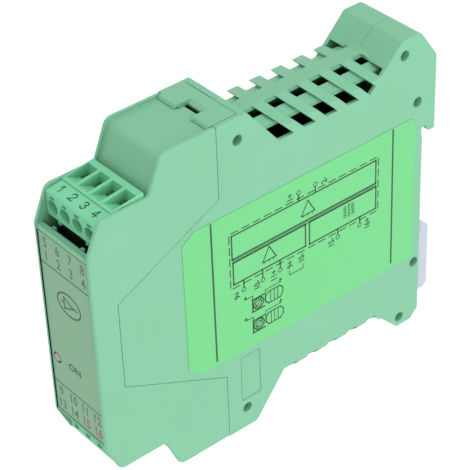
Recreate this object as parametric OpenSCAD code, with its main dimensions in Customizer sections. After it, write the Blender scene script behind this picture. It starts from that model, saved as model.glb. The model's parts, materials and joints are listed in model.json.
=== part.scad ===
// Signal isolator: a slim moulded module that snaps on a 35 mm mounting rail.
// +X runs across its width, -Y points to its front and +Z points up.
// The origin is the middle of the seat that lies against the rail.

/* [Housing] */
// Thickness of the side walls
wall = 1.2; // [1:0.1:1.5]
// Thickness of the walls that run round the edge
rim = 1.5; // [1.2:0.1:1.8]
// From the rail seat to the front edge of the side walls
front_depth = 110.5; // [108:0.5:116]
// Height of the front edge of the side walls
front_h = 60.4; // [58:0.2:62]
// Height over the two terminal steps
step_h = 79.2; // [78:0.2:81]
// Height over the upper and lower covers
cover_h = 100; // [97:0.5:104]
// How far the terminal steps start behind the front edge
step_back = 4.1; // [3.5:0.1:5]
// Length of the terminal steps, from the front edge to the foot of the cover
step_length = 18.9; // [18.9:0.1:20]
// How far the front slope of the cover leans back
nose_lean = 4.4; // [3.5:0.1:5.5]
// Rounding of the cover's front corner
nose_r = 2.6; // [1.5:0.1:3]
// Rounding of the other corners of the side outline
corner_r = 1; // [0.5:0.1:1.2]
// How deep the cover panel lies between the side walls
panel_recess = 1; // [0.6:0.1:1.4]
// From the rail seat to the upright part of the side seam
seam_depth = 70.5; // [68:0.5:73]
// Height over the places where the side seam turns forwards
seam_h = 57.8; // [55:0.2:60]
// Height of the front end of the tongue between the cheeks
tongue_h = 26.4; // [24:0.2:30]
// How far the tongue ends behind the front edge
tongue_back = 7.4; // [7:0.2:10]
// Open line at the side seam
seam_gap = 0.15; // [0.1:0.05:0.3]

/* [Vents] */
// From the rail seat to the rear edge of the covers
cover_rear = 60.6; // [59:0.2:63]
// From the rail seat to the front end of the valleys
valley_front = 50.5; // [49:0.5:52]
// Height over the side walls in the valleys
valley_h = 74.8; // [72:0.2:77]
// How far the middle of the vents stands above the side walls of the valley
hump_rise = 6.5; // [5:0.1:7]
// How far the outer ends of the louvres stand above those walls
eave_rise = 3.4; // [3:0.1:4.5]
// Distance from one louvre to the next
louvre_pitch = 7.4; // [7.2:0.1:7.6]
// Width of a louvre along its top
louvre_w = 3.7; // [3:0.1:4.2]
// How far a louvre leans back for each millimetre of its height
louvre_lean = 0.95; // [0.6:0.05:1]
// Width of the lengthwise spine
spine_w = 4.7; // [3:0.1:6]
// Thickness of the spine and of the ribs beside it
spine_t = 1.5; // [1:0.1:1.8]
// Distance from one rib to the other, across the spine
grille_gap = 9.2; // [8:0.1:10]
// Width of a rib
grille_w = 3.2; // [2.6:0.1:3.8]
// How far the ribs lie below the tops of the louvres
grille_drop = 1; // [0.6:0.1:1.4]
// How far the last opening reaches up the rear slope
vent_window = 5; // [4:0.1:5.5]

/* [Rear foot] */
// From the rail seat to the foot of the upper rear slope
valley_rear = 19.2; // [18.5:0.1:20]
// From the rail seat to the foot of the lower rear slope
low_valley_rear = 16.6; // [16:0.1:18]
// From the rail axis to the top of the upper foot
foot_top = 48.6; // [47:0.2:50]
// From the rail axis to the bottom of the lower foot
foot_low = 46; // [45.5:0.1:47]
// From the rail seat to the top of the rear slopes
foot_front = 8.1; // [7.8:0.1:8.6]
// From the rail seat to the rear edge of the upper foot's top
foot_rear = 1.5; // [1:0.1:2.5]
// How far the hook reaches behind the rail seat
hook_out = 4.5; // [4:0.1:5]
// From the rail axis to the shoulder of the hook
hook_shoulder = 39.6; // [37:0.2:42]
// Diameter of the round holes in the side
boss_hole_d = 3; // [2.6:0.1:3.2]
// Depth of those holes
boss_hole_depth = 7; // [5:0.5:9]
// Wall round those holes
boss_wall = 0.8; // [0.6:0.1:1]

/* [Mounting rail] */
// Height of the rail
rail_h = 35; // [34.8:0.1:35.2]
// Thickness of the rail's flanges
rail_t = 1; // [0.9:0.1:1.2]
// How far the hook laps over the rail's upper edge
hook_lap = 1; // [0.8:0.1:1.5]
// Room above the rail's upper edge
rail_room = 1; // [0.6:0.1:1.2]
// Room behind the rail's flange
rail_slack = 0.35; // [0.2:0.05:0.5]
// Depth of the relief behind the rail's upper edge
seat_relief = 0.3; // [0.2:0.05:0.5]

/* [Latch] */
// How far the latch slides down to let go of the rail
latch_travel = 4.5; // [4.3:0.1:4.8]
// How far the latch laps over the rail's lower edge
latch_lap = 4.1; // [3.5:0.1:4.2]
// Height of the latch
latch_h = 25; // [24.8:0.1:25.2]
// How far the latch reaches behind the rail seat
latch_out = 4.8; // [4.4:0.1:5.2]
// How far the latch reaches into the housing
latch_in = 5; // [4.9:0.05:5.1]
// Clearance round the latch
latch_gap = 0.2; // [0.15:0.05:0.3]
// Outer diameter of the latch spring
spring_d = 3.2; // [3:0.1:3.4]
// Diameter of the spring wire
spring_wire_d = 0.5; // [0.4:0.05:0.6]
// Number of turns of the spring
spring_turns = 7; // [6:1:9]

/* [Terminals] */
// Distance from one pole to the next
pitch = 5; // [4.9:0.05:5.1]
// Clearance between a terminal plug and the side walls
plug_gap = 0.05; // [0.05:0.01:0.1]
// How far the plug's front face lies behind the start of the step
plug_back = -0.4; // [-0.5:0.1:0]
// Height of the plug's front face
plug_face_h = 7.3; // [7.1:0.1:7.5]
// How far the wire end of the plug stands above the number strip
plug_ridge = 0.4; // [0.3:0.1:0.6]
// How much the top of the plug climbs towards its rear, for each millimetre
plug_climb = 0.14; // [0.1:0.01:0.16]
// Length of the wire entry at the bottom of a funnel
wire_gap = 1.9; // [1.8:0.1:2.4]
// Width of the number strip
strip_w = 4.9; // [4.7:0.1:5]
// Depth of the plug's nose in its socket
nose_depth = 7; // [6.5:0.1:7.2]
// Diameter of the screwdriver holes
driver_d = 4; // [3.8:0.1:4.2]
// Diameter of a screw head
head_d = 3.7; // [3.4:0.1:3.75]
// Length of a screw head
head_l = 1.4; // [1.2:0.1:1.6]
// Diameter of a screw shank
shank_d = 2.5; // [2.2:0.1:2.6]
// Width of a screw slot
slot_w = 0.8; // [0.6:0.1:1]
// Length of a clamp cage along its screw
cage_l = 6.4; // [6.2:0.1:6.6]
// Width of a clamp cage
cage_w = 3.9; // [3.8:0.05:4]
// Height of a clamp cage
cage_h = 4.6; // [4.2:0.1:4.8]
// Thickness of a clamp cage
cage_t = 0.6; // [0.5:0.05:0.7]
// How far a clamp cage travels
cage_travel = 2; // [1.6:0.1:2.1]
// Thickness of a contact strip
contact_t = 0.8; // [0.6:0.1:0.9]
// Thickness of a socket pin
pin_t = 1; // [0.8:0.1:1]

/* [Circuit board] */
// Thickness of the board
board_t = 1.2; // [1:0.1:1.3]
// Height of the board
board_h = 62; // [58:1:66]
// From the rail seat to the rear edge of the board
board_rear = 9; // [8.5:0.5:12]
// Width of the transformer's core, front to back
core_l = 18; // [16:0.5:20]
// Height of the transformer's core
core_h = 16; // [14:0.5:18]
// Diameter of the filter capacitors
cap_d = 8; // [6.3:0.1:10]
// Length of the filter capacitors
cap_l = 12; // [10:0.5:14]

/* [Labels] */
// Thickness of the front label
front_label_t = 0.8; // [0.6:0.1:1]
// How far the front label lies behind the front edge
front_label_back = 0.3; // [0.2:0.1:0.6]
// Length of the side label
side_label_l = 80; // [78:0.5:81]
// Height of the side label
side_label_h = 46.4; // [44:0.2:48]
// From the rail seat to the rear edge of the side label
side_label_rear = 2.8; // [2:0.1:4]
// Thickness of the side label
side_label_t = 0.15; // [0.1:0.05:0.2]
// Diameter of the power light
led_d = 3; // [2.6:0.1:3.2]

/* [Hidden] */
$fn = 48;

// Colours
housing_green = "#94d6b2";
plug_green = "#76cb98";
label_green = "#84e896";
front_grey = "#8eb298";
latch_white = "#dfe1f0";
steel = "#b9bcc0";
brass = "#c9a650";
black_plastic = "#26282a";

// Widths
poles = 4;
half = poles * pitch / 2 + plug_gap + wall;
inner = half - wall;
function pole_x(i) = (i - (poles - 1) / 2) * pitch;
over = 1;

// Heights of the side outline, from the rail axis
cover_z = cover_h / 2;
step_z = step_h / 2;
front_z = front_h / 2;
valley_z = valley_h / 2;
seam_z = seam_h / 2;
tongue_z = tongue_h / 2;
hump_z = valley_z + hump_rise;
eave_z = valley_z + eave_rise;

// Depths of the front block, all measured back from the front edge
step_y = -front_depth + step_back;
foot_y = -front_depth + step_length;
nose_y = foot_y + nose_lean;
tongue_y = -front_depth + tongue_back;

// Rail groove, hook and latch
rail_z = rail_h / 2;
groove_y = rail_t + rail_slack;
groove_z = rail_z + rail_room;
hook_z = rail_z - hook_lap;
seat_top = hook_z - 0.5;
latch_top = -rail_z + latch_lap;
latch_low = latch_top - latch_h;
latch_stop = latch_top;
groove_floor = -rail_z - 0.4;
pocket_top = latch_stop + latch_gap;
pocket_low = latch_low - latch_travel - 0.5;
pocket_y = -latch_in - 0.3;

// Points of an outline whose third value is the rounding of its corner
function unit(v) = v / norm(v);
function flat(p) = [p[0], p[1]];
function corner_arc(a, p, b, r, steps) =
    let (u = unit(flat(a) - flat(p)), v = unit(flat(b) - flat(p)), half_turn = acos(u * v) / 2,
         centre = flat(p) + unit(u + v) * r / sin(half_turn),
         from = flat(p) + u * r / tan(half_turn) - centre, to = flat(p) + v * r / tan(half_turn) - centre,
         start = atan2(from[1], from[0]), swing = atan2(to[1], to[0]) - start,
         turn = swing > 180 ? swing - 360 : swing < -180 ? swing + 360 : swing)
    [for (k = [0:steps]) centre + r * [cos(start + turn * k / steps), sin(start + turn * k / steps)]];
function rounded(pts, steps = 6) =
    let (n = len(pts))
    [for (i = [0:n - 1])
        each (len(pts[i]) < 3 || pts[i][2] == 0 ? [flat(pts[i])]
              : corner_arc(pts[(i + n - 1) % n], pts[i], pts[(i + 1) % n], pts[i][2], steps))];

// The same outline with each side moved inwards, for an outline that runs clockwise
function inset(pts, d) =
    let (n = len(pts))
    [for (i = [0:n - 1])
        let (e = unit(flat(pts[i]) - flat(pts[(i + n - 1) % n])), f = unit(flat(pts[(i + 1) % n]) - flat(pts[i])),
             p = [e[1], -e[0]], q = [f[1], -f[0]])
        flat(pts[i]) + (p + q) * d / (1 + p * q)];
function upside_down(pts) = [for (i = [len(pts) - 1:-1:0]) [pts[i][0], -pts[i][1], len(pts[i]) > 2 ? pts[i][2] : 0]];

// Side outline, from the lower front corner clockwise
upper_outline = [
    [-front_depth, front_z, corner_r], [step_y, step_z, nose_r], [foot_y, step_z, corner_r],
    [nose_y, cover_z, nose_r], [-cover_rear, cover_z, corner_r],
    [-valley_front, valley_z, corner_r], [-valley_rear, valley_z, corner_r]
];
rear_outline = [
    [-foot_front, foot_top, corner_r], [-foot_rear, foot_top, nose_r], [hook_out, hook_shoulder, nose_r],
    [hook_out, hook_z, corner_r / 2], [groove_y + hook_lap, hook_z, corner_r / 2], [groove_y, groove_z - 0.6],
    [groove_y, groove_z], [-seat_relief, groove_z], [-seat_relief, seat_top], [0, seat_top],
    [0, -foot_low + 2.8, corner_r], [-2.8, -foot_low, corner_r],
    [-foot_front, -foot_low, corner_r]
];
low_valley = [[-low_valley_rear, -valley_z, corner_r]];
lower_outline = upside_down([for (i = [0:5]) upper_outline[i]]);
body_outline = concat(upper_outline, rear_outline, low_valley, lower_outline);

// Region behind the side seam, with its tongue between the cheeks
far = 200;
module seam_region(gap = 0) {
    polygon([
        [far, far], [-seam_depth + gap, far], [-seam_depth + gap, seam_z - gap / 2],
        [tongue_y + gap, tongue_z - gap / 2], [tongue_y + gap, -tongue_z + gap / 2],
        [-seam_depth + gap, -seam_z + gap / 2], [-seam_depth + gap, -far], [far, -far]
    ]);
}

// Hollow of the rear shells, open to the front
foot_slope = (foot_low - valley_z) / (low_valley_rear - foot_front);
hollow_outline = [
    [-far, cover_z], [-cover_rear, cover_z], [-valley_front, valley_z], [-valley_rear, valley_z],
    [-foot_front, foot_top], [0, foot_top], [0, pocket_top], [pocket_y, pocket_top],
    [pocket_y, -valley_z - (low_valley_rear + pocket_y) * foot_slope], [-low_valley_rear, -valley_z],
    [-valley_front, -valley_z], [-cover_rear, -cover_z], [-far, -cover_z]
];

// Extrusions: an outline in Y and Z carried across, and one in X and Z carried along
module across(x0, x1) {
    translate([x0, 0, 0]) rotate([90, 0, 90]) linear_extrude(x1 - x0) children();
}
module along(y0, y1) {
    translate([0, y1, 0]) rotate([90, 0, 0]) linear_extrude(y1 - y0) children();
}
module block(low, high) {
    translate(low) cube(high - low);
}
module rod_x(x0, x1, y, z, d) {
    translate([x0, y, z]) rotate([0, 90, 0]) cylinder(h = x1 - x0, d = d);
}
module rod_y(y0, y1, x, z, d) {
    translate([x, y0, z]) rotate([-90, 0, 0]) cylinder(h = y1 - y0, d = d);
}
module above_and_below() {
    children();
    mirror([0, 0, 1]) children();
}

// Front cover: two cheeks, the wall behind the front label, the terminal steps and the cover panels
label_y = -front_depth + front_label_back;
front_wall_y = label_y + front_label_t;
front_wall_t = 1.4;
label_z = front_z - 0.8;
label_top = front_z - 2;
step_wall_y = foot_y + 0.6;
step_wall_low = 26;
panel_t = 1.4;
panel_z = cover_z - panel_recess;
nose_dir = unit([nose_lean, cover_z - step_z]);
nose_in = [nose_dir[1], -nose_dir[0]];
function on_nose(d, z) = foot_y + nose_in[0] * d + (z - step_z - nose_in[1] * d) * nose_dir[0] / nose_dir[1];
function nose_height(d, y) = step_z + nose_in[1] * d + (y - foot_y - nose_in[0] * d) * nose_dir[1] / nose_dir[0];
panel_outline = [
    [step_wall_y, step_wall_low], [step_wall_y, nose_height(panel_recess, step_wall_y)],
    [on_nose(panel_recess, panel_z), panel_z, nose_r], [-seam_depth - seam_gap, panel_z],
    [-seam_depth - seam_gap, panel_z - panel_t],
    [on_nose(panel_recess + panel_t, panel_z - panel_t), panel_z - panel_t, nose_r - panel_t],
    [step_wall_y + panel_t, nose_height(panel_recess + panel_t, step_wall_y + panel_t)],
    [step_wall_y + panel_t, step_wall_low]
];
ledge_back = 1.2;
ledge_outline = [
    [label_y, label_z + seam_gap], [-front_depth + 0.15, front_z - 0.1],
    [front_wall_y + ledge_back, front_z - 0.7], [front_wall_y + ledge_back, label_z - 1.4],
    [front_wall_y, label_z - 1.4], [front_wall_y, label_z + seam_gap]
];
led_x = -inner + 2.55;
led_z = -11;
led_gap = 0.15;
tab_w = 1.4;
tab_h = 1.1;
tab_drop = 0.35;

module front_cover() color(housing_green) {
    difference() {
        union() {
            for (x = [-half, inner]) difference() {
                across(x, x + wall) polygon(rounded(body_outline));
                across(x - over, x + wall + over) seam_region();
            }
            block([-inner, front_wall_y, -label_z], [inner, front_wall_y + front_wall_t, label_z]);
            block([-inner, label_y, label_top + seam_gap], [inner, front_wall_y + over, label_z + 2 * seam_gap]);
            above_and_below() {
                across(-inner, inner) polygon(rounded(panel_outline));
                across(-inner, inner) polygon(ledge_outline);
                block([-catch_w / 2 + seam_gap, -seam_depth - over, panel_z - panel_t],
                      [catch_w / 2 - seam_gap, plate_y - plate_lip + catch_tongue, panel_z]);
                for (x = [-0.68, 0.48] * inner)
                    block([x - tab_w / 2, front_wall_y + front_wall_t, label_z - 2.4],
                          [x + tab_w / 2, front_wall_y + front_wall_t + tab_h, label_z - tab_drop]);
            }
        }
        rod_y(front_wall_y - over, front_wall_y + front_wall_t + over, led_x, led_z, led_d + 2 * led_gap);
    }
}

// Vents: slanted louvres with roofed tops, joined by a spine and by a rib on each side of it
louvres = 6;
vent_low = valley_z - 1.1;
vent_depth = 2 * rim;
first_louvre = -(valley_front + cover_rear) / 2 + 3.8;
function roof(x) = hump_z - (x - spine_w / 2) * (hump_rise - eave_rise) / (half - spine_w / 2);
module vent_bars() {
    slant = (hump_z - vent_low) * louvre_lean;
    rib_in = grille_gap / 2;
    rib_out = rib_in + grille_w;
    for (k = [0:louvres - 1]) {
        y = first_louvre + k * louvre_pitch;
        across(0, half) polygon([
            [y, hump_z], [y + louvre_w, hump_z], [y + louvre_w + slant, vent_low], [y + slant, vent_low]
        ]);
    }
    block([0, -far / 2, hump_z - spine_t], [spine_w / 2, 0, hump_z]);
    along(-far / 2, 0) translate([0, -grille_drop]) polygon([
        [rib_in, roof(rib_in) - spine_t], [rib_in, roof(rib_in)], [rib_out, roof(rib_out)],
        [rib_out, roof(rib_out) - spine_t]
    ]);
}
module vents(rear) {
    window_y = -rear + vent_window;
    window_z = valley_z + vent_window;
    intersection() {
        vent_bars();
        along(-far / 2, 0) polygon([
            [0, vent_low], [half, vent_low], [half, eave_z], [spine_w / 2, hump_z], [0, hump_z]
        ]);
        across(0, half) polygon([
            [-cover_rear - rim / 2, cover_z], [-valley_front - rim / 2, vent_low],
            [window_y + vent_depth, vent_low], [window_y + vent_depth, window_z], [window_y + rim / 2, window_z],
            [-foot_front + rim / 2, valley_z + rear - foot_front]
        ]);
    }
}
module vent_opening(rear) {
    window_y = -rear + vent_window;
    across(-over, inner) polygon([
        [-valley_front - rim / 2, valley_z - vent_depth], [-valley_front - rim / 2, valley_z + over],
        [-rear - over, valley_z + over], [window_y - over, valley_z + vent_window],
        [window_y + vent_depth, valley_z + vent_window], [window_y + vent_depth, valley_z - vent_depth]
    ]);
}

// Six hollow bosses join the two shells
boss_d = boss_hole_d + 2 * boss_wall;
guide_y = -2;
guide_z = -25.9;
boss_in = 3.2;
boss_down = 6.6;
bosses = [
    [-cover_rear - boss_in, cover_z - boss_down], [-cover_rear - boss_in, -cover_z + boss_down],
    [-foot_front + 0.9, foot_top - 4.8], [-foot_front + 0.9, -foot_low + 3], [-2.1, 27.4], [guide_y, guide_z]
];
spigot_d = 2.2;
spigot_l = 2;
spigot_gap = 0.05;

// One half of the rear housing, on the +X side
module half_shell() {
    difference() {
        union() {
            across(inner, half) intersection() {
                polygon(rounded(body_outline));
                seam_region(seam_gap);
            }
            difference() {
                across(0, inner) intersection() {
                    polygon(rounded(body_outline));
                    seam_region(seam_gap);
                }
                across(-over, inner) polygon(inset(hollow_outline, rim));
                vent_opening(valley_rear);
                mirror([0, 0, 1]) vent_opening(low_valley_rear);
            }
            vents(valley_rear);
            mirror([0, 0, 1]) vents(low_valley_rear);
            for (p = bosses) rod_x(0, inner + wall / 2, p[0], p[1], boss_d);
        }
        difference() {
            block([-over, pocket_y, pocket_low], [inner, over, pocket_top]);
            rod_x(-2 * over, inner + over, guide_y, guide_z, boss_d);
        }
    }
}

// Cover plate at the back of each cover: part of the left shell, seated on the front cover's panel
plate_edge = inner - 0.35;
plate_lip = 1.5;
plate_y = -seam_depth + seam_gap;
plate_rear = -cover_rear - 2.05;
plate_line = 0.3;
module plate_outline(gap = 0) {
    polygon([
        [plate_y - gap, cover_z - rim - gap], [plate_y - gap, cover_z + gap],
        [plate_rear + gap, cover_z + gap], [plate_rear + gap, cover_z - rim - gap]
    ]);
}
module cover_plate() {
    across(-inner, plate_edge) plate_outline();
    across(-inner + seam_gap, plate_edge) polygon([
        [plate_y - plate_lip, panel_z + seam_gap], [plate_y - plate_lip + 0.7, cover_z],
        [plate_y, cover_z], [plate_y, panel_z + seam_gap]
    ]);
}

// Catch: a tongue of the cover panel shows in a bevelled notch of the plate
catch_w = 6.3;
catch_l = 4.2;
catch_bevel = 1.2;
catch_tongue = 3;
module catch_notch() {
    front = plate_y - 2 * plate_lip;
    rear = plate_y - plate_lip + catch_l;
    across(-catch_w / 2, catch_w / 2) polygon([
        [front, cover_z - 2 * rim], [front, cover_z + over], [rear + catch_bevel, cover_z + over],
        [rear + catch_bevel, cover_z], [rear, cover_z - rim / 2], [rear, cover_z - 2 * rim]
    ]);
}

// The rail seat is lapped, so that its middle is one clean face
lap = 2;
lap_z = 10;
board_pad = 0.25;
pad_size = 5;
board_x = -inner + board_pad;

// Shallow mark left by a moulding insert below the side label
mark_front = 65.5;
mark_rear = 59;
mark_low = -40.1;
mark_high = -25.3;
mark_depth = 0.2;
module right_shell() color(housing_green) {
    difference() {
        union() {
            half_shell();
            block([-lap, -rim, -lap_z], [over, 0, lap_z]);
        }
        above_and_below()
            across(-over, plate_edge + seam_gap) plate_outline(seam_gap / 2);
        for (p = bosses) {
            rod_x(half - boss_hole_depth, half + over, p[0], p[1], boss_hole_d);
            rod_x(-over, spigot_l + 0.3, p[0], p[1], spigot_d + 2 * spigot_gap);
        }
        block([half - mark_depth, -mark_front, mark_low], [half + over, -mark_rear, mark_high]);
    }
}

module left_shell() color(housing_green) {
    difference() {
        union() {
            mirror([1, 0, 0]) half_shell();
            above_and_below() cover_plate();
            for (p = bosses) rod_x(-over, spigot_l, p[0], p[1], spigot_d);
            for (y = [-seam_depth + over, -board_rear - pad_size], z = [-1, 1] * (board_h / 2 - pad_size))
                block([-inner - over / 2, y, z - pad_size / 2], [board_x, y + pad_size, z + pad_size / 2]);
        }
        block([-lap - seam_gap, -rim - seam_gap, -lap_z - seam_gap], [over / 2, over, lap_z + seam_gap]);
        above_and_below() {
            catch_notch();
            block([-inner, plate_rear, cover_z - plate_line], [over, plate_rear + seam_gap, cover_z + over]);
        }
    }
}

// Labels
front_label_gap = 0.15;
module front_label() color(front_grey) {
    difference() {
        block([-inner + front_label_gap, label_y, -label_z], [inner - front_label_gap, front_wall_y, label_top]);
        rod_y(label_y - over, front_wall_y + over, led_x, led_z, led_d + 2 * led_gap);
    }
}
label_r = 2.4;
label_cut = 4;
module side_label() color(label_green) {
    low = -side_label_h / 2;
    high = side_label_h / 2;
    front = -side_label_rear - side_label_l;
    across(half, half + side_label_t) polygon(rounded([
        [front + label_cut, low, label_r / 2], [front, low + label_cut, label_r / 2],
        [front, high - label_cut * 0.66, label_r / 2], [front + label_cut, high, label_r / 2],
        [-side_label_rear, high, label_r], [-side_label_rear, low, label_r]
    ]));
}

// Latch: its nose hooks behind the rail's lower edge, and the guide boss runs in its slot
latch_half = inner - latch_gap;
latch_chamfer = 1.4;
eye_w = 6;
eye_h = 3;
module din_latch() color(latch_white) {
    difference() {
        across(-latch_half, latch_half) polygon([
            [-latch_in, latch_low], [-latch_in, latch_stop], [-latch_gap, latch_stop], [-latch_gap, groove_floor],
            [groove_y, groove_floor], [groove_y, latch_top], [latch_out, latch_top - latch_out + groove_y],
            [latch_out, latch_low + latch_chamfer], [latch_out - latch_chamfer, latch_low]
        ]);
        for (dz = [0, latch_travel]) rod_x(-half, half, guide_y, guide_z + dz, boss_d + 2 * latch_gap);
        block([-half, guide_y - boss_d / 2 - latch_gap, guide_z],
              [half, guide_y + boss_d / 2 + latch_gap, guide_z + latch_travel]);
        translate([0, spring_y, latch_low - over])
            cylinder(h = spring_seat - latch_low + over, d = spring_d + 2 * latch_gap);
        block([-eye_w / 2, latch_out - 3, latch_low + 2], [eye_w / 2, latch_out + over, latch_low + 2 + eye_h]);
    }
}

// Latch spring: a round wire swept along a helix
spring_y = -latch_in / 2;
spring_seat = guide_z - boss_d / 2 - 2.6;
spring_low = pocket_low;
spring_sides = 6;
spring_steps = 14;
module latch_spring() color(steel) {
    r = (spring_d - spring_wire_d) / 2;
    rise = spring_seat - spring_low - spring_wire_d - 0.1;
    n = spring_turns * spring_steps;
    ring = function (k) [for (s = [0:spring_sides - 1])
        let (a = 360 * k / spring_steps, b = 360 * s / spring_sides, q = r + spring_wire_d / 2 * cos(b))
        [q * cos(a), spring_y + q * sin(a),
         spring_low + 0.05 + spring_wire_d / 2 + rise * k / n + spring_wire_d / 2 * sin(b)]];
    points = [for (k = [0:n]) each ring(k)];
    walls = [for (k = [0:n - 1], s = [0:spring_sides - 1])
        let (a = k * spring_sides + s, b = k * spring_sides + (s + 1) % spring_sides)
        [a, a + spring_sides, b + spring_sides, b]];
    ends = [[for (s = [0:spring_sides - 1]) s], [for (s = [spring_sides - 1:-1:0]) n * spring_sides + s]];
    polyhedron(points, concat(walls, ends));
}

// Terminal plug
plug_half = poles * pitch / 2;
plug_y = step_y + plug_back;
plug_top = step_z - 1.2;
plug_rear = step_wall_y - 0.9;
face_low = plug_top - plug_face_h;
nose_front = plug_y + 2.8;
nose_rear = plug_rear - 1.6;
nose_low = face_low - nose_depth;
screw_z = plug_top - 4.2;
seat_y = plug_y + 3.2;
seat_t = 1;
cage_gap = 0.15;
chamber_y = seat_y + seat_t;
cage_y = chamber_y + 0.3 + cage_travel;
chamber_rear = cage_y + cage_l + 0.5;
chamber_w = cage_w + 2 * cage_gap;
chamber_low = screw_z - cage_h / 2 - cage_gap - 0.05;
chamber_high = screw_z + cage_h / 2 + 0.9;
contact_y = cage_y + cage_t + 0.4;
contact_w = cage_w - 2 * cage_t - 2 * cage_gap;
shank_gap = 0.15;
funnel_w = pitch - 1;
funnel_front = plug_y + strip_w + 0.9;
funnel_rear = chamber_rear - 0.6;
wire_rear = funnel_rear - 0.3;
function plug_height(y) = plug_top + (y - plug_y) * plug_climb;
rib_x = 0.56 * inner;
rib_w = 1.2;
module plug_body() {
    strip_y = plug_y + strip_w;
    clear = plug_height(plug_rear) + 2 * plug_ridge;
    difference() {
        union() {
            across(-plug_half, plug_half) polygon(rounded([
                [plug_y, face_low, corner_r / 2], [plug_y, plug_top, corner_r / 2], [strip_y, plug_height(strip_y)],
                [strip_y, plug_height(strip_y) + plug_ridge],
                [plug_rear, plug_height(plug_rear) + plug_ridge, corner_r / 2], [plug_rear, face_low],
                [nose_rear, face_low], [nose_rear, nose_low, corner_r / 2], [nose_front, nose_low, corner_r / 2],
                [nose_front, face_low]
            ], 4));
            for (x = [-rib_x, rib_x])
                block([x - rib_w / 2, plug_y + 0.3, face_low - 1.2], [x + rib_w / 2, plug_y + 1.5, face_low + over]);
        }
        for (i = [0:poles - 1]) {
            x = pole_x(i);
            rod_y(plug_y - over, seat_y, x, screw_z, driver_d);
            rod_y(plug_y, chamber_y + over, x, screw_z, shank_d + 2 * shank_gap);
            block([x - chamber_w / 2, chamber_y, chamber_low], [x + chamber_w / 2, chamber_rear, chamber_high]);
            across(x - funnel_w / 2, x + funnel_w / 2) polygon([
                [funnel_front, plug_height(funnel_front) + plug_ridge], [funnel_front, clear], [funnel_rear, clear],
                [funnel_rear, plug_height(funnel_rear)], [wire_rear, chamber_high - 0.2],
                [wire_rear - wire_gap, chamber_high - 0.2]
            ]);
            block([x - contact_w / 2 - cage_gap, fork_front - cage_gap, nose_low - over],
                  [x + contact_w / 2 + cage_gap, fork_rear, chamber_low + over]);
            block([x - 0.9, plug_y - over, plug_top - 1.9], [x + 0.9, plug_y + 1.2, plug_top - 1.1]);
        }
    }
}
module top_plug() color(plug_green) plug_body();
module bottom_plug() color(plug_green) mirror([0, 0, 1]) plug_body();

// Screws and clamp cages of one pole
head_y = seat_y - 0.05 - head_l;
tip_y = contact_y - 0.15;
module terminal_screw(i, side) color(steel) mirror([0, 0, side < 0 ? 1 : 0]) {
    difference() {
        union() {
            rod_y(head_y, head_y + head_l, pole_x(i), screw_z, head_d);
            rod_y(head_y + head_l / 2, tip_y, pole_x(i), screw_z, shank_d);
        }
        block([pole_x(i) - head_d, head_y - over, screw_z - slot_w / 2],
              [pole_x(i) + head_d, head_y + head_l * 0.55, screw_z + slot_w / 2]);
    }
}
module clamp_cage(i, side) color(brass) mirror([0, 0, side < 0 ? 1 : 0]) {
    x = pole_x(i);
    difference() {
        block([x - cage_w / 2, cage_y, screw_z - cage_h / 2], [x + cage_w / 2, cage_y + cage_l, screw_z + cage_h / 2]);
        block([x - cage_w / 2 + cage_t, cage_y + cage_t, screw_z - cage_h],
              [x + cage_w / 2 - cage_t, cage_y + cage_l - cage_t, screw_z + cage_h]);
        rod_y(cage_y - over, cage_y + cage_t + over, x, screw_z, shank_d + 2 * shank_gap);
    }
}

// Contacts of one plug: a bar through each cage and a fork over each socket pin
fork_t = 0.4;
pin_y = contact_y + contact_t / 2;
pin_gap = 0.05;
fork_front = pin_y - pin_t / 2 - pin_gap - fork_t;
fork_rear = pin_y + pin_t / 2 + pin_gap + fork_t;
fork_top = chamber_low - 0.2;
pin_top = fork_top - fork_t - 0.3;
module contact_row() {
    for (i = [0:poles - 1])
        across(pole_x(i) - contact_w / 2, pole_x(i) + contact_w / 2) polygon([
            [fork_front, nose_low + 0.6], [fork_front, fork_top], [contact_y, fork_top],
            [contact_y, chamber_high - 0.3], [contact_y + contact_t, chamber_high - 0.3],
            [contact_y + contact_t, fork_top], [fork_rear, fork_top], [fork_rear, nose_low + 0.6],
            [fork_rear - fork_t, nose_low + 0.6], [fork_rear - fork_t, fork_top - fork_t],
            [fork_front + fork_t, fork_top - fork_t], [fork_front + fork_t, nose_low + 0.6]
        ]);
}
module top_contacts() color(brass) contact_row();
module bottom_contacts() color(brass) mirror([0, 0, 1]) contact_row();

// Socket of each plug, with pins that turn aside to the board
board_face = board_x + board_t;
header_gap = 0.2;
header_wall = 1;
header_base = 2;
header_low = nose_low - header_gap - header_base;
leg_step = 1.5;
leg_t = pin_t;
module header_body() {
    x0 = board_face + 0.1;
    difference() {
        block([x0, nose_front - header_gap - header_wall, header_low],
              [plug_half, nose_rear + header_gap + header_wall, face_low - header_gap]);
        block([x0 - over, nose_front - header_gap, header_low + header_base],
              [plug_half + over, nose_rear + header_gap, face_low + over]);
        for (x = [-rib_x, rib_x])
            block([x - rib_w / 2 - header_gap, nose_front - 3 * header_wall, face_low - 1.2 - header_gap],
                  [x + rib_w / 2 + header_gap, nose_front, face_low + over]);
        for (i = [0:poles - 1])
            block([pole_x(i) - pin_t / 2 - pin_gap, pin_y - pin_t / 2 - pin_gap, header_low - over],
                  [pole_x(i) + pin_t / 2 + pin_gap, pin_y + pin_t / 2 + pin_gap, header_low + header_base + over]);
    }
}
module header_pin_row() {
    for (i = [0:poles - 1]) {
        leg_z = header_low - 0.5 - (i + 1) * leg_step;
        block([pole_x(i) - pin_t / 2, pin_y - pin_t / 2, leg_z], [pole_x(i) + pin_t / 2, pin_y + pin_t / 2, pin_top]);
        block([board_face, pin_y - pin_t / 2, leg_z], [pole_x(i) + pin_t / 2, pin_y + pin_t / 2, leg_z + leg_t]);
    }
}
module top_header() color(black_plastic) header_body();
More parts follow.
